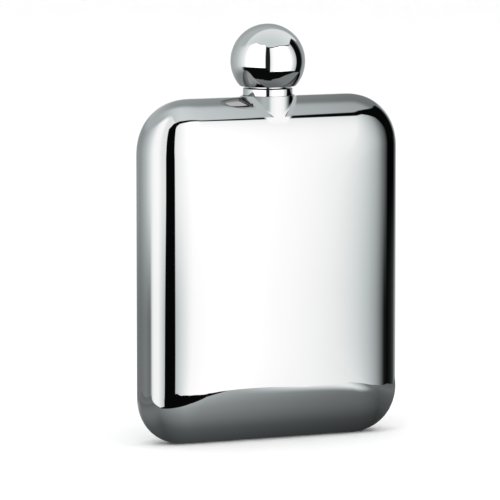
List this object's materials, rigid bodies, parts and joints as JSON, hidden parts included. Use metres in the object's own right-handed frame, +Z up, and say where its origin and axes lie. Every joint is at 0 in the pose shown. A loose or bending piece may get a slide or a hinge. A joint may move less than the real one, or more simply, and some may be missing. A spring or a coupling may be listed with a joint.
{
  "type": "hip flask",
  "caption": "Slim rounded-rectangle hip flask in mirror-polished stainless steel, with a hollow ball-shaped screw cap on a short collared and threaded neck.",
  "frame": {"origin": "middle of the flat that the flask stands on, under the neck's axis", "axes": "+Z up along the neck's axis, +X along the width, -Y to the front face and +Y to the back face"},
  "size_m": [0.0942, 0.025, 0.1396],
  "materials": {
    "polished_body": "polished",
    "polished_seam": "polished",
    "polished_ball": "polished",
    "turned_neck": "gloss",
    "turned_bush": "satin",
    "weld_bead": "satin",
    "silicone": "satin"
  },
  "bodies": {
    "flask": {"front_shell": "polished_body", "rear_shell": "polished_body", "perimeter_weld": "polished_seam", "neck_spout": "turned_neck", "neck_weld": "weld_bead"},
    "seal_disc": {"cap_seal": "silicone"},
    "ball_cap": {"cap_upper_shell": "polished_ball", "cap_lower_shell": "polished_ball", "cap_seam_weld": "polished_seam", "cap_thread_bush": "turned_bush", "cap_bush_weld": "weld_bead"}
  },
  "joints": [
    {"name": "cap_rise", "type": "slide", "parent": "flask", "child": "seal_disc", "axis": [0, 0, 1], "range_m": [0, 0.01]},
    {"name": "cap_turn", "type": "hinge", "parent": "seal_disc", "child": "ball_cap", "pos_m": [0, 0, 0.1265], "axis": [0, 0, 1], "range_deg": [0, 1440]}
  ],
  "couplings": [
    {"joint": "cap_rise", "follows": "cap_turn", "m_per_rad": 0.00039788}
  ]
}
